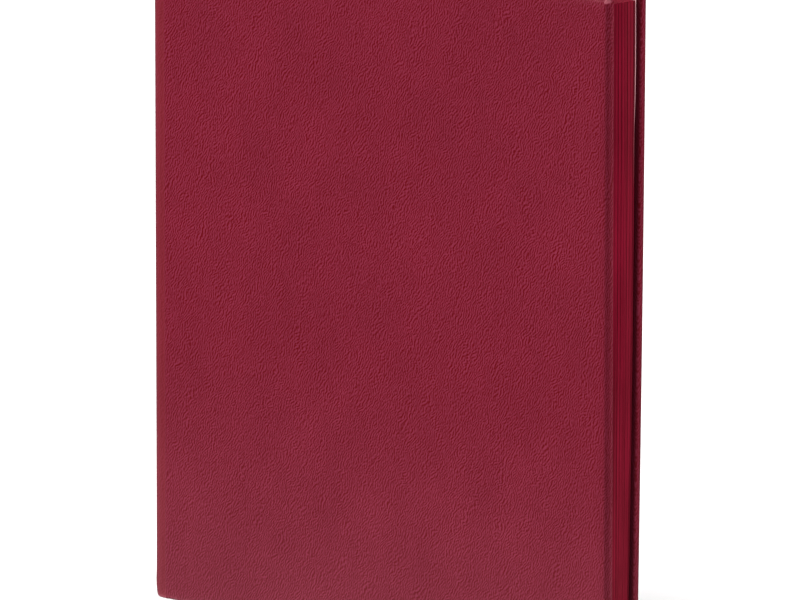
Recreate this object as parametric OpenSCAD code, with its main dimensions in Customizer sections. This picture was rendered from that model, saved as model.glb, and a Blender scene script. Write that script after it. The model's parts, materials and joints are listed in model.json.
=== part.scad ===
// Leather-bound notebook, standing on its tail edge.
// X runs from the spine (-X) to the fore edge (+X), Y from the front cover (-Y) to the back cover (+Y), Z up.
// The origin is in the middle of the closed book's foot.

/* [Covers] */
// Width of the closed book, from the back of the spine to the fore edge
book_w = 195; // [120:1:260]
// Height of the covers
book_h = 210; // [120:1:320]
// Radius of the covers' fore-edge corners
corner_r = 2; // [1:0.5:5]
// Thickness of each board
board_t = 1.5; // [1.2:0.1:3]
// Thickness of the leather
leather_t = 0.6; // [0.4:0.1:0.9]
// Thickness of the leather where it is pared and turned in
turn_in_t = 0.3; // [0.2:0.05:0.4]
// Width of the turned-in leather inside each cover
turn_in_w = 8; // [5:1:20]

/* [Spine] */
// Radius of the spine's rounded shoulders
spine_r = 5; // [3.5:0.5:5.5]
// Distance from the back of the spine to the line on which each cover turns
hinge_in = 6; // [6:0.5:8]
// Thickness of the card inlay
inlay_t = 0.6; // [0.4:0.1:0.8]
// Hollow between the inlay and the lining, which opens as the book does
hollow_w = 1.2; // [1:0.1:1.5]
// Thickness of the cloth lining over the folds
lining_t = 0.2; // [0.1:0.05:0.3]
// Radius of the head band and the tail band
band_r = 0.8; // [0.5:0.1:0.9]

/* [Text block] */
// Number of sewn signatures
signature_n = 7; // [4:1:10]
// Thickness of one signature
signature_t = 1.3; // [0.8:0.05:2]
// Overhang of the covers past the pages at head, tail and fore edge
square_w = 1.7; // [1.5:0.1:4]
// Number of sewing stations along the folds
station_n = 8; // [4:1:12]
// Diameter of the sewing thread
thread_d = 0.24; // [0.15:0.01:0.3]

/* [End leaves] */
// Number of loose leaves at the front, and as many at the back
leaf_n = 3; // [1:1:3]
// Thickness of a leaf
leaf_t = 0.15; // [0.1:0.05:0.2]
// Clearance on each side of a leaf
leaf_gap = 0.15; // [0.15:0.05:0.3]

/* [Hidden] */
$fn = 48;
SIDES = ["front", "back"];

leather_red = "#81243a";
edge_red = "#731325";
board_grey = "#8d8579";
paper_ivory = "#e9e2d2";
cloth_white = "#d9d5c8";
thread_red = "#8c2a3c";

// Clearance between a glued piece and the piece round it
fit_gap = 0.05;
// Distance from a cover's turning line out to the leather's face, and along it to each leather edge
pivot_gap = 0.15;
// Distance from a cover's turning line to its board
board_in = 1;
// Distance from a cover's turning line to the line on which the leaves turn
leaf_in = 1.5;
// Distance from the leaves' turning line to the guard behind it, and to a leaf's own edge
leaf_back = 0.3;
leaf_start = 0.4;
// Distance from head and tail to the ends of the lining
lining_in = 14;
// Distance from head and tail to the first sewing station
station_in = 24;
// Height of each band's tongue, which is glued down over the folds
tongue_h = 6;

cover_t = leather_t + board_t + turn_in_t;
block_t = signature_n * signature_t;
leaf_pitch = leaf_t + leaf_gap;
guard_t = leaf_n * leaf_pitch;
book_t = 2 * (cover_t + leaf_gap + guard_t) + block_t;

spine_x = -book_w / 2;
fore_x = book_w / 2;
hinge_x = spine_x + hinge_in;
leaf_x = hinge_x + leaf_in;
inlay_x = spine_x + leather_t;
lining_x = inlay_x + inlay_t + hollow_w;
thread_x = lining_x + lining_t + thread_d / 2;
fold_x = thread_x + thread_d / 2;
page_x = fore_x - square_w;
front_y = -book_t / 2;
inlay_in = leather_t + inlay_t;
shoulder_x = spine_x + spine_r;
page_h = book_h - 2 * square_w;

// Draws its children as the front cover's piece, or mirrored as the back cover's
module on_side(side) {
    if (side == "back") mirror([0, 1, 0]) children();
    else children();
}

// Outline in X and Z that reaches from x0 to x1, inset at head and tail, with the two corners at x1 rounded
module board_outline(x0, x1, inset, r) {
    translate([x0, inset]) square([x1 - r - x0, book_h - 2 * inset]);
    translate([x0, inset + r]) square([x1 - x0, book_h - 2 * (inset + r)]);
    for (z = [inset + r, book_h - inset - r])
        translate([x1 - r, z]) circle(r);
}

// Plate of an X-Z outline, t thick, whose face nearest the front of the book is at y
module upright(y, t) {
    translate([0, y + t, 0]) rotate([90, 0, 0]) linear_extrude(t) children();
}

// Outline in X and Y of the spine with rounded corners, inset from its outer face, cut off at x_end
module spine_outline(inset, x_end) {
    r = spine_r - inset;
    half = book_t / 2 - inset;
    x0 = spine_x + inset;
    intersection() {
        translate([x0, -half]) square([x_end - x0, 2 * half]);
        union() {
            translate([x0 + r, -half]) square([book_w / 2, 2 * half]);
            translate([x0, r - half]) square([book_w / 2, 2 * (half - r)]);
            for (y = [r - half, half - r])
                translate([x0 + r, y]) circle(r);
        }
    }
}

// Leather of one cover: the face, its three wrapped edges and the turned-in frame inside
module cover_leather(side) {
    x0 = hinge_x + pivot_gap;
    color(leather_red) on_side(side) difference() {
        upright(front_y, cover_t)
            board_outline(x0, fore_x, 0, corner_r);
        upright(front_y + leather_t, board_t)
            board_outline(x0 - 1, fore_x - leather_t, leather_t, corner_r - leather_t);
        upright(front_y + leather_t, cover_t)
            board_outline(x0 - 1, fore_x - turn_in_w, turn_in_w, corner_r);
    }
}

module cover_board(side) {
    inset = leather_t + fit_gap;
    color(board_grey) on_side(side)
        upright(front_y + leather_t, board_t)
            board_outline(hinge_x + board_in, fore_x - inset, inset, corner_r - leather_t);
}

module pastedown(side) {
    inset = turn_in_w + fit_gap;
    color(paper_ivory) on_side(side)
        upright(front_y + leather_t + board_t, turn_in_t)
            board_outline(hinge_x + board_in, fore_x - inset, inset, corner_r);
}

// Leaf i lies i places in from the cover
module leaf(side, i) {
    y = front_y + cover_t + leaf_gap + (i - 1) * leaf_pitch;
    color(paper_ivory) on_side(side)
        translate([leaf_x + leaf_start, y, square_w])
            cube([page_x - leaf_x - leaf_start, leaf_t, page_h]);
}

// Strip at the gutter that the loose leaves are tipped on
module guard(side) {
    color(cloth_white) on_side(side)
        translate([fold_x, -block_t / 2 - guard_t, square_w])
            cube([leaf_x - leaf_back - fold_x, guard_t, page_h]);
}

// Folded sheets with a round fold at the spine
module signature(i) {
    r = signature_t / 2;
    color(edge_red) translate([fold_x, (i - 1) * signature_t - block_t / 2, square_w])
        linear_extrude(page_h) {
            translate([r, 0]) square([page_x - fold_x - r, signature_t]);
            translate([r, r]) circle(r);
        }
}

// Outline in X and Y of a layer that lines the spine, from inset a to inset b, as far as the shoulders
module spine_layer(a, b) {
    difference() {
        spine_outline(a, shoulder_x);
        spine_outline(b, shoulder_x + 1);
    }
}

module spine_leather() {
    x_end = hinge_x - pivot_gap;
    color(leather_red) {
        linear_extrude(book_h) difference() {
            spine_outline(0, x_end);
            spine_outline(leather_t, x_end + 1);
        }
        // Leather folded over the inlay's ends and pressed down behind it
        for (z = [0, book_h - leather_t])
            translate([0, 0, z]) linear_extrude(leather_t) spine_layer(leather_t, inlay_in + turn_in_t);
        for (z = [0, book_h - turn_in_w])
            translate([0, 0, z]) linear_extrude(turn_in_w) spine_layer(inlay_in, inlay_in + turn_in_t);
    }
}

// Card bent to the spine's round, inside the leather
module spine_inlay() {
    inset = leather_t + fit_gap;
    color(board_grey)
        translate([0, 0, inset]) linear_extrude(book_h - 2 * inset) spine_layer(inset, inlay_in);
}

module spine_lining() {
    color(cloth_white)
        translate([lining_x, -block_t / 2, lining_in]) cube([lining_t, block_t, book_h - 2 * lining_in]);
}

// The links between the signatures, one across the folds at each station
module sewing_thread() {
    pitch = (book_h - 2 * station_in) / (station_n - 1);
    color(thread_red) for (i = [0 : station_n - 1])
        translate([thread_x, block_t / 2, station_in + i * pitch])
            rotate([90, 0, 0]) cylinder(h = block_t, d = thread_d);
}

// Rolled band on the end of the folds, with a tongue glued down behind them
module head_band() {
    tongue_x = thread_x - thread_d / 2;
    band_z = book_h - square_w + band_r;
    color(thread_red) {
        translate([tongue_x + band_r, block_t / 2, band_z])
            rotate([90, 0, 0]) cylinder(h = block_t, r = band_r);
        translate([tongue_x, -block_t / 2, band_z - band_r - tongue_h])
            cube([thread_d, block_t, tongue_h + band_r]);
    }
}

module tail_band() {
    translate([0, 0, book_h]) mirror([0, 0, 1]) head_band();
}

spine_leather();
spine_inlay();
spine_lining();
sewing_thread();
head_band();
tail_band();
for (i = [1 : signature_n])
    signature(i);
for (side = SIDES) {
    guard(side);
    cover_leather(side);
    cover_board(side);
    pastedown(side);
    for (i = [1 : leaf_n])
        leaf(side, i);
}
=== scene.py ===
# Looks of the leather notebook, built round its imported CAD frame.
# Metres, in the CAD's frame: X from the spine to the fore edge, Y from the front cover to the back, Z up.
import json
import math
import random

import bmesh
import bpy
import numpy as np
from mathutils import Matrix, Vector


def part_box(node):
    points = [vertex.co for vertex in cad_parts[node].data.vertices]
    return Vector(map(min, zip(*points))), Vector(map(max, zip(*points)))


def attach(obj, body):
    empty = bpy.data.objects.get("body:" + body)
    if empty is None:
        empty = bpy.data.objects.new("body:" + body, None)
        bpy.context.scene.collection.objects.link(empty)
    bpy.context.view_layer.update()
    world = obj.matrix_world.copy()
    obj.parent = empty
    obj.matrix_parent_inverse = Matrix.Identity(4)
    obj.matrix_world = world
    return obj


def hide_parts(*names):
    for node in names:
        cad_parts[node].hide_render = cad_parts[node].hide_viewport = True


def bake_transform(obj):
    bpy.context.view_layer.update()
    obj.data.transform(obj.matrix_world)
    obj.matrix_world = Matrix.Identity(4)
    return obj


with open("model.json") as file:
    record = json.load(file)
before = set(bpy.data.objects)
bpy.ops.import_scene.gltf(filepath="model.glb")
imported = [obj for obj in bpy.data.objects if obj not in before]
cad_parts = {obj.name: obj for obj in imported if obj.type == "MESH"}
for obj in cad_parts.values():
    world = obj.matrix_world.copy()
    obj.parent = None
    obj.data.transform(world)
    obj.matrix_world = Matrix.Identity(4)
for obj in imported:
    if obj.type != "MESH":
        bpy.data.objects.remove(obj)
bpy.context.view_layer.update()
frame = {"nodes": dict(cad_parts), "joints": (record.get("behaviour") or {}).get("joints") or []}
random.seed(11)
MM = 0.001

# Places that everything else is measured from
LEATHER_LOW, LEATHER_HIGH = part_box("front_leather")
BOARD_LOW, BOARD_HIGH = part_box("front_board")
PASTE_LOW, PASTE_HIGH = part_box("front_pastedown")
SIGNATURE_LOW, SIGNATURE_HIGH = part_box("signature_1")
SPINE_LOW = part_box("spine_leather")[0]
INLAY_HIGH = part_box("spine_inlay")[1]
FRONT = LEATHER_LOW.y
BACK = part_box("back_leather")[1].y
COVER_T = LEATHER_HIGH.y - LEATHER_LOW.y
FORE = LEATHER_HIGH.x
HEAD = LEATHER_HIGH.z
PAGE_FORE = SIGNATURE_HIGH.x
PAGE_TAIL = SIGNATURE_LOW.z
PAGE_HEAD = SIGNATURE_HIGH.z
LEATHER_T = BOARD_LOW.y - LEATHER_LOW.y
PARED_T = PASTE_HIGH.y - BOARD_HIGH.y
TURN_IN = LEATHER_HIGH.x - PASTE_HIGH.x
SHOULDER = INLAY_HIGH.x
SPINE_R = SHOULDER - SPINE_LOW.x
CORNER_R = 1.4 * MM
HINGE = {j["child"]: j["pos_m"] for j in frame["joints"]}
TURN_X = HINGE["front_cover"][0]

# How the closed book lies at the fore edge: how far the back cover and the last pages stand out at the tail
# and at the head, and how much they bow outwards between. It grows from the joint outwards as this power.
COVER_LIES = (-1.46 * MM, 1.60 * MM, 0.457)
PAGES_LIE = (-1.61 * MM, 1.10 * MM, 1.218)
LIES_POWER = 1.6
# How much thicker the used covers are, where board and leather have swollen, and where along the cover that
# begins and is full, from the joint
FRONT_SWELL = 0.90 * MM
BACK_SWELL = 0.30 * MM
SWELL_START = 1 * MM
SWELL_REACH = 20 * MM
# How much taller than the true book the used covers and the used pages stand
COVERS_TALL = 1.0027
PAGES_TALL = 1.0016
# Points closer than this are one point, and edges shorter than this are none
SAME_POINT = 2e-7
NO_EDGE = 1e-7


def smooth(t):
    """Smooth step of t, from 0 at 0 to 1 at 1."""
    t = np.clip(t, 0, 1)
    return t * t * (3 - 2 * t)


def settle(points, lies):
    """Moves points of the true, flat book to where the used book has them."""
    p = np.array(points, float).reshape(-1, 3)
    across = np.clip((p[:, 1] - FRONT - COVER_T) / (BACK - FRONT - 2 * COVER_T), 0, 1)
    out = np.clip((p[:, 0] - TURN_X) / (FORE - TURN_X), 0, None) ** LIES_POWER
    up = p[:, 2] / HEAD
    tail, head, bow = lies
    swollen = smooth((p[:, 0] - TURN_X - SWELL_START) / SWELL_REACH)
    into_front = np.clip((p[:, 1] - FRONT) / COVER_T, 0, 1)
    into_back = np.clip((BACK - p[:, 1]) / COVER_T, 0, 1)
    p[:, 1] += across * out * (tail + (head - tail) * up * (1 + bow - bow * up))
    p[:, 1] += swollen * (FRONT_SWELL * into_front * (1 - across) - BACK_SWELL * into_back * across)
    p[:, 2] *= PAGES_TALL if lies is PAGES_LIE else COVERS_TALL
    return p


def make(name, points, faces, materials, picks=None, sharp=40, wear_and_light=None, lies=COVER_LIES):
    """A mesh object of settled points, with its normals outward and its sharp edges kept sharp."""
    me = bpy.data.meshes.new(name)
    me.from_pydata(settle(points, lies).tolist(), [], [list(map(int, f)) for f in faces])
    for material in materials:
        me.materials.append(material)
    if picks is not None:
        me.polygons.foreach_set("material_index", picks)
    if wear_and_light is not None:
        # Per point: rubbing, painted highlight (above 0) and painted shade (below 0)
        me.attributes.new("wear_and_light", "FLOAT", "POINT").data.foreach_set("value", np.asarray(wear_and_light, np.float32))
    bm = bmesh.new()
    bm.from_mesh(me)
    bmesh.ops.remove_doubles(bm, verts=bm.verts, dist=SAME_POINT)
    bmesh.ops.dissolve_degenerate(bm, edges=bm.edges, dist=NO_EDGE)
    bmesh.ops.recalc_face_normals(bm, faces=bm.faces)
    for f in bm.faces:
        f.smooth = True
    for e in bm.edges:
        if len(e.link_faces) == 2:
            e.smooth = e.calc_face_angle(0) < math.radians(sharp)
    bm.to_mesh(me)
    bm.free()
    o = bpy.data.objects.new(name, me)
    bpy.context.scene.collection.objects.link(o)
    return o


def quads(nu, nv, first=0, loop=False):
    """Quads between nu rows of nv points; loop also joins each row's last point to its first."""
    faces = []
    for i in range(nu - 1):
        row = first + i * nv
        after = row + nv
        for j in range(nv if loop else nv - 1):
            k = (j + 1) % nv
            faces.append((row + j, after + j, after + k, row + k))
    return faces


def plate_faces(nx, nz):
    """Faces of a plate whose two sides have nx rows of nz points each: the sides' faces, and the rim's."""
    per = nx * nz
    rim = [i * nz for i in range(nx)]
    rim += [(nx - 1) * nz + j for j in range(1, nz)]
    rim += [i * nz + nz - 1 for i in range(nx - 2, -1, -1)]
    rim += list(range(nz - 2, 0, -1))
    edges = [(a, b, b + per, a + per) for a, b in zip(rim, rim[1:] + rim[:1])]
    return quads(nx, nz) + quads(nx, nz, per), edges


def side_y(side, depth):
    """Y at that depth in from the face of a cover."""
    return FRONT + depth if side == "front" else BACK - depth


# Materials

# How far the grain's places run on round an edge, and how far in from the edge that begins and is full
EDGE_ROUND = 3.4 * MM
EASE_START = 22 * MM
EASE_END = 2 * MM
# How far the leather stands out where it is turned in at the spine's shoulders, and how much more at its back
SHOULDER_BULGE = 0.10 * MM
SPINE_BULGE = 0.05 * MM
# Width of one turn of the bands' silk
SILK_PITCH = 0.36 * MM
PAPER_FIBRE = (1500, 1500, 420)
PAPER_TONES = ((0.58, 0.52, 0.41, 1), (0.68, 0.62, 0.51, 1))
CARD_TONES = ((0.21, 0.19, 0.165, 1), (0.30, 0.275, 0.24, 1))
CLOTH_TONES = ((0.42, 0.39, 0.32, 1), (0.68, 0.65, 0.57, 1))
THREAD_TONES = ((0.17, 0.02, 0.03, 1), (0.30, 0.04, 0.06, 1))
DYE = (0.105, 0.0012, 0.0080, 1)
# Brighter than the paper: a painted highlight along the last back leaf's edge near the head
EDGE_HIGHLIGHT = (0.90, 0.50, 0.54, 1)


class Nodes:
    """Shorthand for building one material's nodes."""

    def __init__(self, name):
        self.material = bpy.data.materials.new(name)
        self.material.use_nodes = True
        self.tree = self.material.node_tree
        self.shader = self.tree.nodes["Principled BSDF"]
        self.place = self.add("ShaderNodeTexCoord").outputs["Object"]

    def add(self, kind, inputs=None, **settings):
        node = self.tree.nodes.new(kind)
        for key, value in settings.items():
            setattr(node, key, value)
        for key, value in (inputs or {}).items():
            self.put(node.inputs[key], value)
        return node

    def put(self, socket, value):
        if isinstance(value, bpy.types.NodeSocket):
            self.tree.links.new(value, socket)
        else:
            socket.default_value = value

    def math(self, operation, a, b=0.0, clamp=False):
        return self.add("ShaderNodeMath", {0: a, 1: b}, operation=operation, use_clamp=clamp).outputs[0]

    def span(self, value, low, high, to_low=0.0, to_high=1.0):
        node = self.add("ShaderNodeMapRange", {0: value, 1: low, 2: high, 3: to_low, 4: to_high})
        return node.outputs[0]

    def mapped(self, scale):
        return self.add("ShaderNodeMapping", {"Vector": self.place, "Scale": scale}).outputs[0]

    def noise(self, scale, detail, rough=0.5):
        settings = {"Vector": self.mapped(scale), "Scale": 1.0, "Detail": detail, "Roughness": rough}
        return self.add("ShaderNodeTexNoise", settings).outputs["Fac"]

    def mix(self, fac, a, b, blend="MIX"):
        node = self.add("ShaderNodeMix", data_type="RGBA", blend_type=blend)
        self.put(node.inputs[0], fac)
        self.put(node.inputs[6], a)
        self.put(node.inputs[7], b)
        return node.outputs[2]

    def bump(self, height, distance, strength=1.0):
        node = self.add("ShaderNodeBump", {"Height": height, "Distance": distance, "Strength": strength})
        return node.outputs[0]

    def xyz(self):
        return self.add("ShaderNodeSeparateXYZ", {0: self.place}).outputs

    def attribute(self, name):
        return self.add("ShaderNodeAttribute", attribute_name=name).outputs["Fac"]

    def done(self, colour, rough, normal, specular):
        self.put(self.shader.inputs["Base Color"], colour)
        self.put(self.shader.inputs["Roughness"], rough)
        self.put(self.shader.inputs["Normal"], normal)
        self.shader.inputs["Specular IOR Level"].default_value = specular
        return self.material


def flat_hide(n):
    """Places on the hide laid flat, whose faces run on round the edges, and round the spine to the back."""
    x, y, z = n.xyz()
    deep = n.math("SUBTRACT", BACK, n.math("ABSOLUTE", y))
    edge = n.math("MINIMUM", deep, EDGE_ROUND)
    at_fore = n.math("MULTIPLY", edge, n.span(x, FORE - EASE_START, FORE - EASE_END))
    at_spine = n.math("MULTIPLY", deep, n.span(x, EASE_END - FORE, EASE_START - FORE, 1.0, 0.0))
    at_head = n.math("MULTIPLY", edge, n.span(z, HEAD - EASE_START, HEAD - EASE_END))
    at_tail = n.math("MULTIPLY", edge, n.span(z, EASE_END, EASE_START, 1.0, 0.0))
    on_front = n.math("ADD", x, n.math("SUBTRACT", at_fore, at_spine))
    behind = n.math("GREATER_THAN", y, 0.0)
    mirrored = n.math("MULTIPLY", on_front, n.math("SUBTRACT", 1.0, n.math("MULTIPLY", behind, 2.0)))
    round_spine = 2 * (FORE + BACK + SHOULDER_BULGE + SPINE_BULGE)
    along = n.math("SUBTRACT", mirrored, n.math("MULTIPLY", behind, round_spine))
    high = n.math("ADD", z, n.math("SUBTRACT", at_head, at_tail))
    return n.add("ShaderNodeCombineXYZ", {0: along, 1: high}).outputs[0]


def leaning_grain(n):
    """Height of the hide's grain from 0 to 1: fine wrinkles that lean and sway a little, with crumbs."""
    sway = n.add("ShaderNodeTexNoise", {"Vector": n.mapped((110, 110, 110)), "Scale": 1.0, "Detail": 2.0})
    middle = (0.5, 0.5, 0.5)
    drift = n.add("ShaderNodeVectorMath", {0: sway.outputs["Color"], 1: middle}, operation="SUBTRACT")
    shift = n.add("ShaderNodeVectorMath", {0: drift.outputs[0], "Scale": 4.0 * MM}, operation="SCALE")
    swayed = n.add("ShaderNodeVectorMath", {0: flat_hide(n), 1: shift.outputs[0]}, operation="ADD")
    pattern = {"Vector": swayed.outputs[0], "Scale": 740.0, "Frequency": 1.5, "Anisotropy": 0.66}
    pattern["Orientation 2D"] = math.radians(-24)
    wrinkles = n.add("ShaderNodeTexGabor", pattern, gabor_type="2D").outputs["Value"]
    crumbs = n.span(n.noise((1900, 1900, 1500), 2, 0.6), 0.25, 0.75)
    return n.math("ADD", n.math("MULTIPLY", wrinkles, 0.80), n.math("MULTIPLY", crumbs, 0.20))


def leather_material():
    """Burgundy hide, mottled, smoother where it flexes, with a painted sheen on its grain's ridges, paler
    where it is rubbed and where highlights are painted, darkened where shade is painted, and paler and greyer
    low down.
    """
    n = Nodes("burgundy_leather")
    valley = (0.083, 0.0001, 0.0029, 1)
    # The ridges' pinker colour is grain, with a painted sheen that stands in for their glints
    ridge = (0.147, 0.0128, 0.0305, 1)
    blotch = (0.80, 0.72, 0.76, 1)
    joint = (0.130, 0.0120, 0.0180, 1)
    # Paler colour of rubbed leather, used also for the painted highlight at the fore corners and on the front
    # cover's inner fore edge
    worn_and_highlight = (0.400, 0.1300, 0.1600, 1)
    pale_tint = (0.010, 0.0085, 0.0100, 1)
    # Near-black painted shade, laid where the leather stands in shadow: inside the covers, in the slit at the
    # back cover's fore edge and down the fore edges
    painted_shade_colour = (0.012, 0.0006, 0.0014, 1)

    grain = leaning_grain(n)
    flexed = n.attribute("polish")
    wear_and_light_value = n.attribute("wear_and_light")
    # Above 0 the value is rubbing and painted highlight
    rubbed_and_lit = n.math("MAXIMUM", wear_and_light_value, 0.0)
    # Below 0 the value is painted shade
    painted_shade_amount = n.math("MAXIMUM", n.math("MULTIPLY", wear_and_light_value, -1.0), 0.0)
    mottle = n.noise((42, 42, 34), 3, 0.6)

    # Grain colour, with a painted sheen on the ridges
    colour = n.mix(n.span(grain, 0.40, 0.60), valley, ridge)
    colour = n.mix(n.math("MULTIPLY", flexed, 0.6), colour, joint)
    blotched = n.mix(1.0, colour, blotch, "MULTIPLY")
    colour = n.mix(n.span(mottle, 0.32, 0.68, 0.0, 0.5), colour, blotched)
    uneven = n.span(n.noise((500, 500, 500), 4), 0.40, 0.60, 0.35, 1.0)
    # Rubbing and painted highlight, where the value is above 0
    colour = n.mix(n.math("MULTIPLY", n.math("MULTIPLY", rubbed_and_lit, uneven), 0.3, True), colour, worn_and_highlight)
    # Paler and greyer towards the bottom
    ragged_z = n.math("ADD", n.xyz()[2], n.math("MULTIPLY", mottle, 30 * MM))
    low_down = n.span(ragged_z, 15 * MM, 110 * MM, 1.0, 0.0)
    colour = n.mix(n.math("POWER", low_down, 1.6), colour, pale_tint, "ADD")
    # Painted shade over the leather where the value is below 0
    colour = n.mix(n.math("MULTIPLY", painted_shade_amount, 0.75), colour, painted_shade_colour)

    rough = n.span(grain, 0.2, 0.8, 0.64, 0.50)
    height = n.math("MULTIPLY", grain, n.math("SUBTRACT", 1.0, n.math("MULTIPLY", flexed, 0.65)))
    return n.done(colour, rough, n.bump(height, 0.09 * MM, 0.8), 0.035)


def dyed_material():
    """The sheets' trimmed and dyed edges, paler and greyer low down, with painted light towards the back, and
    painted lighter where they face up at the head.
    """
    n = Nodes("dyed_edges")
    low_dye = (0.084, 0.0002, 0.0058, 1)
    high_dye = (0.176, 0.0028, 0.0172, 1)
    lit_top_dye = (0.240, 0.0150, 0.0330, 1)
    pale_tint = (0.010, 0.0048, 0.0045, 1)

    fibre = n.noise(PAPER_FIBRE, 4, 0.6)
    tone = n.noise((2600, 2600, 20), 2)
    patches = n.noise((100, 100, 40), 3)
    both = n.math("ADD", n.math("MULTIPLY", tone, 0.7), n.math("MULTIPLY", patches, 0.3))
    dye = n.mix(n.span(both, 0.35, 0.65), low_dye, high_dye)
    place = n.xyz()
    # Paler and greyer low down, and painted light towards the back, where the front cover's shadow does not
    # fall
    low_down = n.span(place[2], 20 * MM, 110 * MM, 1.0, 0.0)
    lit_at_back = n.span(place[1], 0.0, 4 * MM, 0.0, 0.7)
    dye = n.mix(n.math("MAXIMUM", low_down, lit_at_back), dye, pale_tint, "ADD")
    # Painted light from above: faces that point up near the head are lighter
    normal = n.add("ShaderNodeNewGeometry").outputs["Normal"]
    upward = n.span(n.add("ShaderNodeSeparateXYZ", {0: normal}).outputs[2], 0.4, 0.8)
    ends = n.math("MULTIPLY", upward, n.span(place[2], 0.5 * HEAD, 0.6 * HEAD))
    dye = n.mix(ends, dye, lit_top_dye)
    return n.done(dye, n.span(fibre, 0.3, 0.7, 0.62, 0.78), n.bump(fibre, 0.02 * MM), 0.04)


def paper_material(name, reach, low_stain, high_stain_and_highlight):
    """Ivory paper, which the dye has stained as far in as reach: in one colour low down, another high up; on
    the last back leaf the high colour is brighter than the paper, a painted highlight along its edge.
    """
    n = Nodes(name)
    x, _, z = n.xyz()
    near_fore = n.math("SUBTRACT", PAGE_FORE, x)
    near_tail = n.math("SUBTRACT", z, PAGE_TAIL)
    near_head = n.math("SUBTRACT", PAGE_HEAD, z)
    near = n.math("MINIMUM", n.math("MINIMUM", near_fore, near_tail), near_head)
    fray = n.math("MULTIPLY", n.noise((900, 900, 900), 3), 0.4 * reach)
    drawn = n.span(n.math("SUBTRACT", near, fray), 0.6 * reach, reach, 1.0, 0.0)
    fibre = n.noise(PAPER_FIBRE, 4, 0.6)
    paper = n.mix(fibre, *PAPER_TONES)
    spots = n.span(n.noise((45, 45, 45), 5), 0.55, 0.8)
    paper = n.mix(n.math("MULTIPLY", spots, 0.25), paper, (0.60, 0.50, 0.36, 1))
    # High up: stain, and on the last back leaf a painted highlight
    stain_and_highlight = n.mix(n.span(z, 0.72 * HEAD, 0.86 * HEAD), low_stain, high_stain_and_highlight)
    colour = n.mix(drawn, paper, stain_and_highlight)
    return n.done(colour, n.span(fibre, 0.3, 0.7, 0.7, 0.85), n.bump(fibre, 0.02 * MM), 0.2)


def plain_material(name, tones, scale, bump, rough):
    """A mottled, slightly rough surface between two tones."""
    n = Nodes(name)
    fine = n.noise(scale, 4, 0.6)
    wide = n.noise((90, 90, 90), 3)
    both = n.math("ADD", n.math("MULTIPLY", fine, 0.7), n.math("MULTIPLY", wide, 0.3))
    colour = n.mix(n.span(both, 0.3, 0.7), *tones)
    return n.done(colour, n.span(fine, 0.3, 0.7, rough - 0.08, rough + 0.08), n.bump(fine, bump), 0.2)


def woven_material(name, tones, pitch):
    """Open-woven cloth: two sets of crossing threads."""
    n = Nodes(name)
    step = 2 * math.pi / pitch
    threads = n.add("ShaderNodeSeparateXYZ", {0: n.mapped((step, step, step))}).outputs
    cloth = n.math("MAXIMUM", n.math("SINE", threads[1]), n.math("SINE", threads[2]))
    fuzz = n.noise((3000, 3000, 3000), 3)
    height = n.math("ADD", n.span(cloth, -1.0, 1.0), n.math("MULTIPLY", fuzz, 0.3))
    colour = n.mix(n.span(height, 0.2, 1.2), *tones)
    return n.done(colour, n.span(fuzz, 0.3, 0.7, 0.8, 0.95), n.bump(height, 0.06 * MM), 0.15)


def band_material():
    """Silk wound round the bands, in two colours by turns."""
    n = Nodes("wound_silk")
    y = n.xyz()[1]
    turns = n.math("SINE", n.math("MULTIPLY", y, 2 * math.pi / SILK_PITCH))
    stripes = n.math("SINE", n.math("MULTIPLY", y, 2 * math.pi / (4 * SILK_PITCH)))
    fuzz = n.noise((3000, 3000, 3000), 3)
    colour = n.mix(n.span(stripes, -0.12, 0.12), (0.235, 0.02, 0.04, 1), (0.62, 0.55, 0.43, 1))
    colour = n.mix(n.math("MULTIPLY", fuzz, 0.4), colour, (0.16, 0.06, 0.05, 1))
    return n.done(colour, n.span(fuzz, 0.3, 0.7, 0.45, 0.6), n.bump(turns, 0.05 * MM), 0.3)


LEATHER = leather_material()
DYED = dyed_material()
SHEET = paper_material("sheet_paper", 0.5 * MM, DYE, DYE)
LEAF = paper_material("leaf_paper", 0.8 * MM, DYE, EDGE_HIGHLIGHT)
BOARD = plain_material("grey_board", CARD_TONES, (900, 900, 900), 0.05 * MM, 0.88)
PAPER = plain_material("ivory_paper", PAPER_TONES, PAPER_FIBRE, 0.02 * MM, 0.8)
CLOTH = woven_material("lining_cloth", CLOTH_TONES, 0.7 * MM)
THREAD = plain_material("red_thread", THREAD_TONES, (5000, 5000, 9000), 0.03 * MM, 0.6)
SILK = band_material()

# Leather: one hide, made as two covers, two joints and the spine, whose borders coincide

# How far in from its edge a wrapped piece of leather is modelled in rows, with the rows' insets in mm
EDGE_IN = 6 * MM
FACE_INSETS = (6.0, 4.5, 3.3, 2.4, 1.7, 1.2)
# Radius of the wrapped edge and number of rows round it, outside and inside
OUTER_R = 0.85 * MM
INNER_R = 0.55 * MM
OUTER_TURN = 7
INNER_TURN = 6
# How far the face falls towards its edge, as part of the thickness, and how much deeper at the spine's ends
EDGE_FALL = 0.07
CAP_FALL = 0.10 * MM
# Thickness of the card in the spine, and the gap between the leather and what it is wrapped round
INLAY_T = 0.55 * MM
GAP = 0.05 * MM
# How hard a cover's edge is rubbed along head and tail, how strong the rubbing and painted highlight are at
# the corners, the painted shade down the fore edge's outer rounding, what part of a corner is turned before
# that shade begins, and how the painted light runs inwards over the fore edge's inner rounding: painted
# highlight on the front cover, painted shade on the back one
END_RUBS = 0.6
CORNER_RUBS_AND_HIGHLIGHT = 4.0
DOWN_SHADE = {"front": -0.45, "back": -0.05}
DOWN_BEGINS = 0.70
INNER_HIGHLIGHT_AND_SHADE = {"front": (0.1, 0.6), "back": (-0.1, -0.75)}
# Points round each corner of a cover, and depth of the mitre where its turned-in ends meet
CORNER_POINTS = 9
MITRE = 0.12 * MM
# Which way along Y is into the book from each cover
INWARD = {"front": 1, "back": -1}
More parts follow.
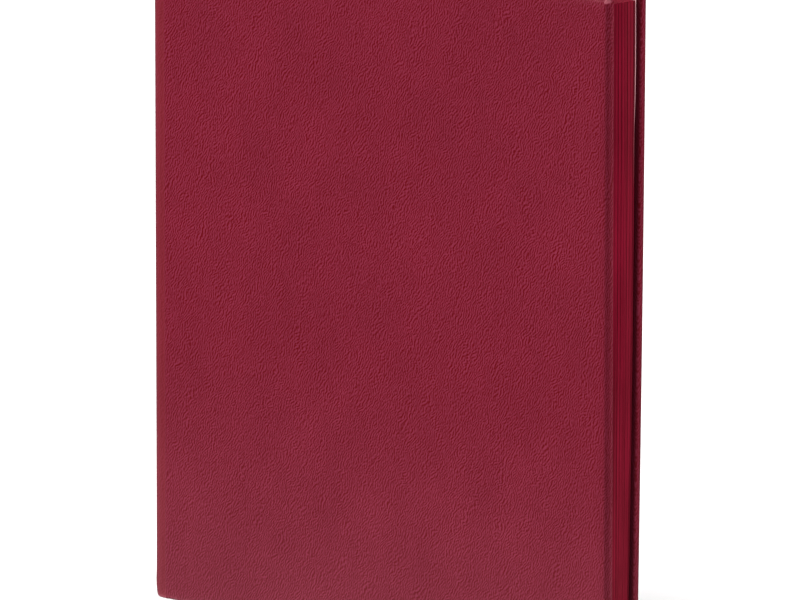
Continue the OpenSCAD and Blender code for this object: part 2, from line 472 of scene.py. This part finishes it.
# Where the covers' leather meets that of the joints, and how thick the hide with what it holds is there and
# round the spine
COVER_START = TURN_X + 0.8 * MM
JOINT_THIN = LEATHER_T + PARED_T + GAP
SPINE_T = LEATHER_T + (PARED_T + INLAY_T) + GAP
MIDDLE_HEIGHTS = np.linspace(18 * MM, HEAD - 18 * MM, 20)
HEIGHTS = np.concatenate([[EDGE_IN, 9 * MM], MIDDLE_HEIGHTS, [HEAD - 9 * MM, HEAD - EDGE_IN]])


def wrap(t, cap=0.0):
    """(inset, depth, wear and painted light) of leather wrapped round an edge t thick: face, edge, turned-in
    end and inside.

    The third value weighs rubbing, painted highlight and painted shade; it is below 0 where the leather is
    hidden inside, which is painted with shade. cap is 1 where the spine's end is rounded deeper.
    """
    fall = EDGE_FALL * t + CAP_FALL * cap
    r = min(OUTER_R, 0.45 * t)
    r_in = min(INNER_R, t - fall - r - 0.02 * MM)
    rows = []
    for d in FACE_INSETS:
        d *= MM
        soft = (1 - (d - r) / (EDGE_IN - r)) ** 3
        near = max(0.0, 1 - (d - r) / (1.8 * MM)) ** 2
        rows.append((d, EDGE_FALL * t * soft + CAP_FALL * cap * near * 0.85, 0.25 * soft))
    for a in np.linspace(0, math.pi / 2, OUTER_TURN):
        rub_and_light = 1.0 - abs(a / (math.pi / 2) - 0.4) * 0.6
        rows.append((r * (1 - math.sin(a)), fall + r * (1 - math.cos(a)), rub_and_light))
    for a in np.linspace(0, math.pi / 2, INNER_TURN):
        rows.append((r_in * (1 - math.cos(a)), t - r_in * (1 - math.sin(a)), 0.35))
    # The turned-in end and the inside, in painted shade (values below 0)
    for d in (1.0 * MM, 2.4 * MM, 4.5 * MM, TURN_IN - 0.1 * MM):
        rows.append((d, t, -1.0))
    rows.append((TURN_IN, t - 0.07 * MM, -0.6))
    for d in (TURN_IN, 4.5 * MM, LEATHER_T + GAP):
        rows.append((d, t - PARED_T, -1.0))
    for d in (LEATHER_T + GAP, 3.3 * MM, EDGE_IN):
        rows.append((d, LEATHER_T, -1.0))
    return rows


def cover_thickness(x):
    """The wrapped thickness along a cover: only leather in the joint, and all of it over the board."""
    begin = BOARD_LOW.x - 0.15 * MM
    return JOINT_THIN + (COVER_T - JOINT_THIN) * float(smooth((x - begin) / (0.35 * MM)))


def joint_groove(x):
    """Depth of the shallow groove that runs down the joint, with its steeper side against the board."""
    falling = float(smooth((x - (TURN_X - 1.0 * MM)) / (1.2 * MM)))
    rising = float(smooth((x - (TURN_X + 0.35 * MM)) / (0.9 * MM)))
    return 0.20 * MM * falling * (1 - rising)


def ring(d, xs, sharp):
    """(x, z) points at inset d round a cover's tail, fore edge and head."""
    r = 0.0 if sharp else max(CORNER_R - d, 0.25 * MM)
    turn = np.linspace(0, math.pi / 2, CORNER_POINTS)
    low = [(FORE - d - r + r * math.sin(a), d + r - r * math.cos(a)) for a in turn]
    points = [(x, d) for x in xs[:-1]] + low
    points += [(FORE - d, z) for z in HEIGHTS[1:-1]]
    points += [(x, HEAD - z) for x, z in reversed(low)]
    return points + [(x, HEAD - d) for x in reversed(xs[:-1])]


def edge_wear_and_light(side, k, rub_and_light, turned):
    """Wear, painted highlight and painted shade in row k of a cover's wrap, where turned is 0 along head and
    tail and 1 down the fore edge.
    """
    outer_rows = len(FACE_INSETS) + OUTER_TURN
    if k < outer_rows:
        down = float(smooth((turned - DOWN_BEGINS) / (1 - DOWN_BEGINS)))
        return rub_and_light * (END_RUBS if turned == 0 else CORNER_RUBS_AND_HIGHLIGHT + (DOWN_SHADE[side] - CORNER_RUBS_AND_HIGHLIGHT) * down)
    if k < outer_rows + INNER_TURN and turned == 1:
        start, end = INNER_HIGHLIGHT_AND_SHADE[side]
        return start + (end - start) * (k - outer_rows) / (INNER_TURN - 1)
    return min(rub_and_light, 0.0)


def cover_skin(side):
    """The leather of one cover, as a closed skin round its board."""
    xs = [COVER_START + s * MM for s in (0, 0.1, 0.2, 0.3, 0.4, 0.55, 0.8, 1.3, 2.2)]
    xs += list(np.linspace(TURN_X + 9.5 * MM, FORE - 17 * MM, 18)) + [FORE - EDGE_IN]
    insets = [inset for inset, _, _ in wrap(COVER_T)]
    straight = len(xs) - 1
    count = len(ring(EDGE_IN, xs, True))
    points, wear_and_light = [], []
    for k, d in enumerate(insets):
        for i, (x, z) in enumerate(ring(d, xs, k in (0, len(insets) - 1))):
            inset, depth, rub_and_light = wrap(cover_thickness(x))[k]
            from_joint = min(i, count - 1 - i)
            if from_joint < straight:
                z = inset if z < HEAD / 2 else HEAD - inset
            in_corner = from_joint == straight + CORNER_POINTS // 2
            if in_corner and depth > 0.9 * COVER_T and 1 * MM < d < TURN_IN:
                depth -= MITRE
            points.append((x, side_y(side, depth + joint_groove(x) * (depth < 0.8 * MM)), z))
            turned = min(max(from_joint - straight, 0) / (CORNER_POINTS - 1), 1)
            wear_and_light.append(edge_wear_and_light(side, k, rub_and_light, turned))
    faces = quads(len(insets), count)
    for depth in (0.0, LEATHER_T):
        faces += quads(len(xs), len(HEIGHTS), len(points))
        points += [(x, side_y(side, depth + joint_groove(x)), z) for x in xs for z in HEIGHTS]
    wear_and_light += [0.0] * (len(points) - len(wear_and_light))
    o = make(side + "_cover_leather", points, faces, [LEATHER], wear_and_light=wear_and_light, sharp=50)
    close(o)
    return dress(o, side + "_cover", "cover_leather", side + "_leather")


def close(o):
    """Fills the holes that are left in a mesh."""
    bm = bmesh.new()
    bm.from_mesh(o.data)
    open_edges = [e for e in bm.edges if e.is_boundary]
    if open_edges:
        made = bmesh.ops.triangle_fill(bm, edges=open_edges, use_beauty=False)
        for f in made["geom"]:
            if isinstance(f, bmesh.types.BMFace):
                for e in f.edges:
                    e.smooth = False
    bmesh.ops.recalc_face_normals(bm, faces=bm.faces)
    bm.to_mesh(o.data)
    bm.free()


def polish(o):
    """Marks how much the hide has been flexed and handled: the joints and the spine's shoulders."""
    co = np.zeros(len(o.data.vertices) * 3)
    o.data.vertices.foreach_get("co", co)
    x = co[0::3]
    begins = smooth((x - (SHOULDER - 2.8 * MM)) / (2.0 * MM))
    ends = smooth((x - (TURN_X + 0.4 * MM)) / (0.5 * MM))
    amount = (begins * (1 - ends)).astype(np.float32)
    o.data.attributes.new("polish", "FLOAT", "POINT").data.foreach_set("value", amount)


def dress(o, body, slot, *nodes):
    """Gives a piece its body and hides the CAD nodes that it stands for; slot is not used."""
    if o.data.materials and o.data.materials[0] == LEATHER:
        polish(o)
    if body:
        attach(o, body)
    if nodes:
        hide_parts(*nodes)
    return o


def sweep(name, stations):
    """A closed leather skin through stations along the hide's section.

    A station is (x, y, inward x, inward y, thickness, cap, bulge).
    """
    points, wear_and_light = [], []
    for x, y, nx, ny, t, cap, bulge in stations:
        tail = wrap(t, cap)
        outside = [(z, 0.0, 0.0) for z in HEIGHTS[1:-1]]
        head = [(HEAD - z, d, w) for z, d, w in tail]
        inside = [(z, LEATHER_T, 0.0) for z in reversed(HEIGHTS[1:-1])]
        for z, d, w in tail[:1] + outside + head + inside + list(reversed(tail[1:])):
            end = min(z, HEAD - z)
            rising = smooth((end - 1.5 * MM) / (2.5 * MM))
            falling = smooth((end - 6.5 * MM) / (4 * MM))
            swell = bulge * float(rising * (1 - falling))
            dip = joint_groove(x) if d < 0.8 * MM and abs(ny) > 0.99 else 0.0
            points.append((x + nx * (d - swell), y + ny * (d - swell + dip), z))
            wear_and_light.append(w)
    per = len(points) // len(stations)
    faces = quads(len(stations), per, loop=True)
    faces.append(tuple(range(per)))
    faces.append(tuple(range(len(points) - per, len(points))))
    return make(name, points, faces, [LEATHER], wear_and_light=wear_and_light, sharp=50)


def joint_leather(side):
    """The strip of hide between the spine and a cover, where the cover hinges; it is attached to neither
    body.
    """
    stations = []
    for x in np.linspace(SHOULDER, COVER_START, 29):
        nearness = 1 - (x - SHOULDER) / (COVER_START - SHOULDER)
        t = SPINE_T + (JOINT_THIN - SPINE_T) * float(smooth((x - SHOULDER) / (0.5 * MM)))
        stations.append((x, side_y(side, 0), 0, INWARD[side], t, nearness, SHOULDER_BULGE * nearness))
    o = dress(sweep(side + "_joint_leather", stations), None, "cover_leather")
    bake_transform(o)
    return o


def spine_skin():
    """The leather round the spine, from one shoulder to the other."""
    halves = []
    for side, inward in INWARD.items():
        half = []
        for a in np.linspace(0, math.pi / 2, 15):
            x = SHOULDER - SPINE_R * math.sin(a)
            y = side_y(side, SPINE_R) - SPINE_R * math.cos(a) * inward
            bulge = SHOULDER_BULGE + SPINE_BULGE * math.sin(a)
            half.append((x, y, math.sin(a), math.cos(a) * inward, SPINE_T, 1.0, bulge))
        halves.append(half)
    front, back = halves
    a, b = front[-1], back[-1]
    between = [tuple(p + (q - p) * f for p, q in zip(a, b)) for f in np.linspace(0, 1, 8)[1:-1]]
    stations = front + between + list(reversed(back))
    return dress(sweep("spine_leather_skin", stations), "block", "cover_leather", "spine_leather")


for side in ("front", "back"):
    cover_skin(side)
    joint_leather(side)
spine_skin()

# Boards and pastedowns, bent as their covers are


def slab(side, part, low, high, material, slot):
    """A sheet of card or paper in a cover, between two corners given for the front cover."""
    xs = np.linspace(low.x, high.x, 22)
    zs = np.linspace(low.z, high.z, 24)
    depths = (low.y - FRONT + 0.01 * MM, high.y - FRONT - 0.01 * MM)
    points = [(x, side_y(side, depth), z) for depth in depths for x in xs for z in zs]
    sides, edges = plate_faces(len(xs), len(zs))
    o = make(f"{side}_cover_{part}", points, sides + edges, [material])
    return dress(o, side + "_cover", slot, f"{side}_{part}")


for side in ("front", "back"):
    slab(side, "board", BOARD_LOW, BOARD_HIGH, BOARD, "grey_board")
    slab(side, "pastedown", PASTE_LOW, PASTE_HIGH, PAPER, "ivory_paper")

# Text block: folded sheets, nested in signatures

ROWS = np.linspace(PAGE_TAIL, PAGE_HEAD, 22)
SHEETS = 4
# How much of its room in the signature a sheet fills, and how far the sheets are spread in it
SHEET_FILLS = 0.86
SHEET_SPREAD = 0.93
# How much closer together a signature's sheets lie at the head of the fore edge
CLOSES_UP = 0.12


def sheet_section(centre, half, fold, fore_a, fore_b):
    """Middle line in X and Y of a folded sheet: in along one leaf, round the fold, out along the other."""
    turn = np.linspace(0, math.pi, 9)[1:-1]
    line = [(x, centre - half) for x in np.linspace(fore_a, fold, 12)]
    line += [(fold - half * math.sin(a), centre - half * math.cos(a)) for a in turn]
    return line + [(x, centre + half) for x in np.linspace(fold, fore_b, 12)]


def folded_sheet(line, centre, t):
    """Points, faces and materials of a sheet t thick that follows line, in a signature round centre."""
    line = np.array(line)
    step = np.gradient(line, axis=0)
    normal = np.stack([-step[:, 1], step[:, 0]], 1) / np.linalg.norm(step, axis=1)[:, None]
    outline = np.concatenate([line + normal * t / 2, (line - normal * t / 2)[::-1]])
    tail_trim = random.uniform(0, 0.05) * MM
    head_trim = random.uniform(0, 0.05) * MM
    page_h = PAGE_HEAD - PAGE_TAIL
    points = []
    for z in ROWS:
        up = (z - PAGE_TAIL) / page_h
        height = PAGE_TAIL + tail_trim + (z - PAGE_TAIL) * (1 - (tail_trim + head_trim) / page_h)
        for x, y in outline:
            out = max(0.0, (x - TURN_X) / (FORE - TURN_X))
            press = 1 - CLOSES_UP * up * out
            points.append((x, centre + (y - centre) * press, height))
    per = len(outline)
    half = per // 2
    faces = quads(len(ROWS), per, loop=True)
    picks = [1 if j in (half - 1, per - 1) else 0 for _ in ROWS[1:] for j in range(per)]
    for first in (0, len(points) - per):
        for i in range(half - 1):
            faces.append((first + i, first + i + 1, first + per - 2 - i, first + per - 1 - i))
            picks.append(1)
    return points, faces, picks


def signature(name):
    """One signature of folded sheets, one inside the other."""
    low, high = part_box(name)
    centre = (low.y + high.y) / 2
    pitch = (high.y - low.y) / (2 * SHEETS)
    points, faces, picks = [], [], []
    back_step = random.uniform(0, 0.12) * MM
    for k in range(SHEETS):
        half = pitch * (SHEETS - k - 0.5)
        ends = [PAGE_FORE - back_step - random.uniform(0, 0.03) * MM for _ in range(2)]
        fold = low.x + half + pitch * (k + 0.6)
        line = sheet_section(centre, half * SHEET_SPREAD, fold, *ends)
        p, f, m = folded_sheet(line, centre, pitch * SHEET_FILLS)
        faces += [tuple(i + len(points) for i in face) for face in f]
        points += p
        picks += m
    o = make(name + "_sheets", points, faces, [SHEET, DYED], picks, lies=PAGES_LIE)
    return dress(o, "block", "dyed_pages", name)


for name in sorted(frame["nodes"]):
    if name.startswith("signature_"):
        signature(name)


def end_leaf(side, i, low_lean, high_lean):
    """A loose leaf, with how far its fore edge has moved out from the block low down and at the head."""
    low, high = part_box(f"front_leaf_{i}")
    xs = np.linspace(low.x, high.x - random.uniform(0, 0.08) * MM, 26)
    points = []
    for y in (low.y, high.y):
        for x in xs:
            out = max(0.0, (x - TURN_X) / (FORE - TURN_X))
            for z in ROWS:
                up = float(smooth((z - 0.80 * HEAD) / (0.08 * HEAD)))
                wave = 0.02 * MM * math.sin(z * 60 + i) * math.sin(x * 40 + 2 * i) * out
                lean = (low_lean + (high_lean - low_lean) * up) * out ** 2
                points.append((x, side_y(side, y - FRONT - (lean + wave)), z))
    sides, edges = plate_faces(len(xs), len(ROWS))
    picks = [0] * len(sides) + [1] * len(edges)
    paper = LEAF if (side, i) == ("back", 1) else SHEET
    o = make(f"{side}_end_leaf_{i}_paper", points, sides + edges, [paper, DYED], picks, lies=PAGES_LIE)
    return dress(o, f"{side}_end_leaf_{i}", "ivory_paper", f"{side}_leaf_{i}")


# How far the fore edges of the back leaves lean from the block, low down and at the head
LEANS = {
    ("back", 1): (-0.40 * MM, 0.25 * MM),
    ("back", 2): (-0.27 * MM, 0.05 * MM),
    ("back", 3): (-0.13 * MM, -0.03 * MM),
}
for side in ("front", "back"):
    for i in (1, 2, 3):
        end_leaf(side, i, *LEANS.get((side, i), (0.0, 0.0)))

# Head and tail bands


def band(node, head):
    """A cord wound with silk on the end of the folds, with its tongue glued down behind them."""
    low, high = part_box(node)
    r = (high.x - low.x) / 2
    middle = (low.x + high.x) / 2
    centre_z = high.z - r if head else low.z + r
    points = []
    ys = np.linspace(low.y, high.y, 141)
    around = 16
    ridge_h = 0.05 * MM
    for y in ys:
        end = min(y - low.y, high.y - y)
        inset = r * (1 - math.sqrt(max(0.0, 1 - max(0.0, 1 - end / (0.5 * MM)) ** 2)))
        ridge = ridge_h * math.cos(y * 2 * math.pi / SILK_PITCH)
        wound = max(0.04 * MM, r - ridge_h + ridge - inset)
        for k in range(around):
            a = 2 * math.pi * k / around
            points.append((middle + wound * math.cos(a), y, centre_z + wound * math.sin(a)))
    faces = quads(len(ys), around, loop=True)
    faces += [tuple(range(around)), tuple(range(len(points) - around, len(points)))]
    first = len(points)
    thick = 0.24 * MM
    z0 = low.z if head else centre_z
    z1 = centre_z if head else high.z
    for x in (low.x, low.x + thick):
        for y in (low.y + 0.1 * MM, high.y - 0.1 * MM):
            for z in (z0, z1):
                points.append((x, y, z))
    for f in ((0, 1, 3, 2), (4, 5, 7, 6), (0, 1, 5, 4), (2, 3, 7, 6), (0, 2, 6, 4), (1, 3, 7, 5)):
        faces.append(tuple(first + i for i in f))
    return dress(make(node + "_wound", points, faces, [SILK], sharp=60), "block", "red_thread", node)


band("head_band", True)
band("tail_band", False)

# CAD pieces that are shown as they are, with their own finishes
for name, material in (
    ("spine_inlay", BOARD),
    ("spine_lining", CLOTH),
    ("sewing_thread", THREAD),
    ("front_guard", CLOTH),
    ("back_guard", CLOTH),
):
    o = frame["nodes"][name]
    for slot in o.material_slots:
        slot.material = material

# Floor, light and camera

FLOOR_HALF = 60.0
FLOOR_BELOW = 0.1 * MM
WHITE = (1, 1, 1, 1)


def pale_floor():
    """A wide floor, a little luminous so that the book's shadow stays faint."""
    n = Nodes("pale_floor")
    haze = n.noise((3, 3, 3), 2)
    n.put(n.shader.inputs["Emission Color"], WHITE)
    n.put(n.shader.inputs["Emission Strength"], 0.2)
    colour = n.mix(haze, (0.90, 0.90, 0.90, 1), (0.93, 0.93, 0.93, 1))
    material = n.done(colour, n.span(haze, 0, 1, 0.85, 0.95), n.bump(haze, 0.1 * MM), 0.1)
    corners = [(x * FLOOR_HALF, y * FLOOR_HALF, 0) for x, y in ((-1, -1), (1, -1), (1, 1), (-1, 1))]
    mesh = bpy.data.meshes.new("floor")
    mesh.from_pydata(corners, [], [(0, 1, 2, 3)])
    mesh.materials.append(material)
    floor = bpy.data.objects.new("floor", mesh)
    floor.location.z = -FLOOR_BELOW
    bpy.context.scene.collection.objects.link(floor)


def studio_sky():
    """A white surrounding that lights the book only faintly."""
    world = bpy.data.worlds.new("studio")
    world.use_nodes = True
    nodes = world.node_tree.nodes
    links = world.node_tree.links
    backdrop = nodes["Background"]
    dim = nodes.new("ShaderNodeBackground")
    for background, strength in ((backdrop, 1.0), (dim, 0.2)):
        background.inputs["Color"].default_value = WHITE
        background.inputs["Strength"].default_value = strength
    seen = nodes.new("ShaderNodeLightPath")
    choose = nodes.new("ShaderNodeMixShader")
    links.new(seen.outputs["Is Camera Ray"], choose.inputs[0])
    links.new(dim.outputs[0], choose.inputs[1])
    links.new(backdrop.outputs[0], choose.inputs[2])
    links.new(choose.outputs[0], nodes["World Output"].inputs["Surface"])
    bpy.context.scene.world = world


def from_direction(azimuth, elevation):
    """The direction from the book to a place, with azimuth 0 in front of its front cover."""
    a = math.radians(azimuth)
    e = math.radians(elevation)
    return Vector((math.sin(a) * math.cos(e), -math.cos(a) * math.cos(e), math.sin(e)))


def lamp(name, kind, azimuth, elevation, power, distance, **settings):
    """A soft light that faces the middle of the book and isn't seen itself."""
    data = bpy.data.lights.new(name, kind)
    data.energy = power
    for key, value in settings.items():
        setattr(data, key, value)
    o = bpy.data.objects.new(name, data)
    toward = from_direction(azimuth, elevation)
    o.location = Vector((0, 0, HEAD / 2)) + toward * distance
    o.rotation_mode = "QUATERNION"
    o.rotation_quaternion = toward.to_track_quat("Z", "Y")
    o.visible_camera = False
    bpy.context.scene.collection.objects.link(o)
    return o


pale_floor()
studio_sky()
lamp("key", "SUN", -5, 40, 4.8, 3.0, angle=math.radians(100))
lamp("side", "AREA", 125, 14, 9.0, 1.3, shape="DISK", size=0.5).visible_glossy = False
lamp("spine_side", "AREA", -60, 33, 0.5, 0.45, shape="DISK", size=0.3).visible_glossy = False

# Where the camera stands, seen from the point at which it aims, which is right of the book's middle and above
AZIMUTH = 44.525
ELEVATION = 10.961
DISTANCE = 4.2655
AIM_RIGHT = 2.305 * MM
AIM_UP = 0.35 * MM
LENS = 631.1

camera_data = bpy.data.cameras.new("camera")
camera_data.lens = LENS
camera_data.sensor_width = 36
camera_data.clip_start = 0.1
camera_data.clip_end = 200
camera = bpy.data.objects.new("camera", camera_data)
right = Vector((math.cos(math.radians(AZIMUTH)), math.sin(math.radians(AZIMUTH)), 0))
aim = Vector((0, 0, HEAD / 2 + AIM_UP)) + right * AIM_RIGHT
camera.location = aim + from_direction(AZIMUTH, ELEVATION) * DISTANCE
camera.rotation_euler = (math.radians(90 - ELEVATION), 0, math.radians(AZIMUTH))
bpy.context.scene.collection.objects.link(camera)
bpy.context.scene.camera = camera
bpy.context.scene.view_settings.view_transform = "Standard"
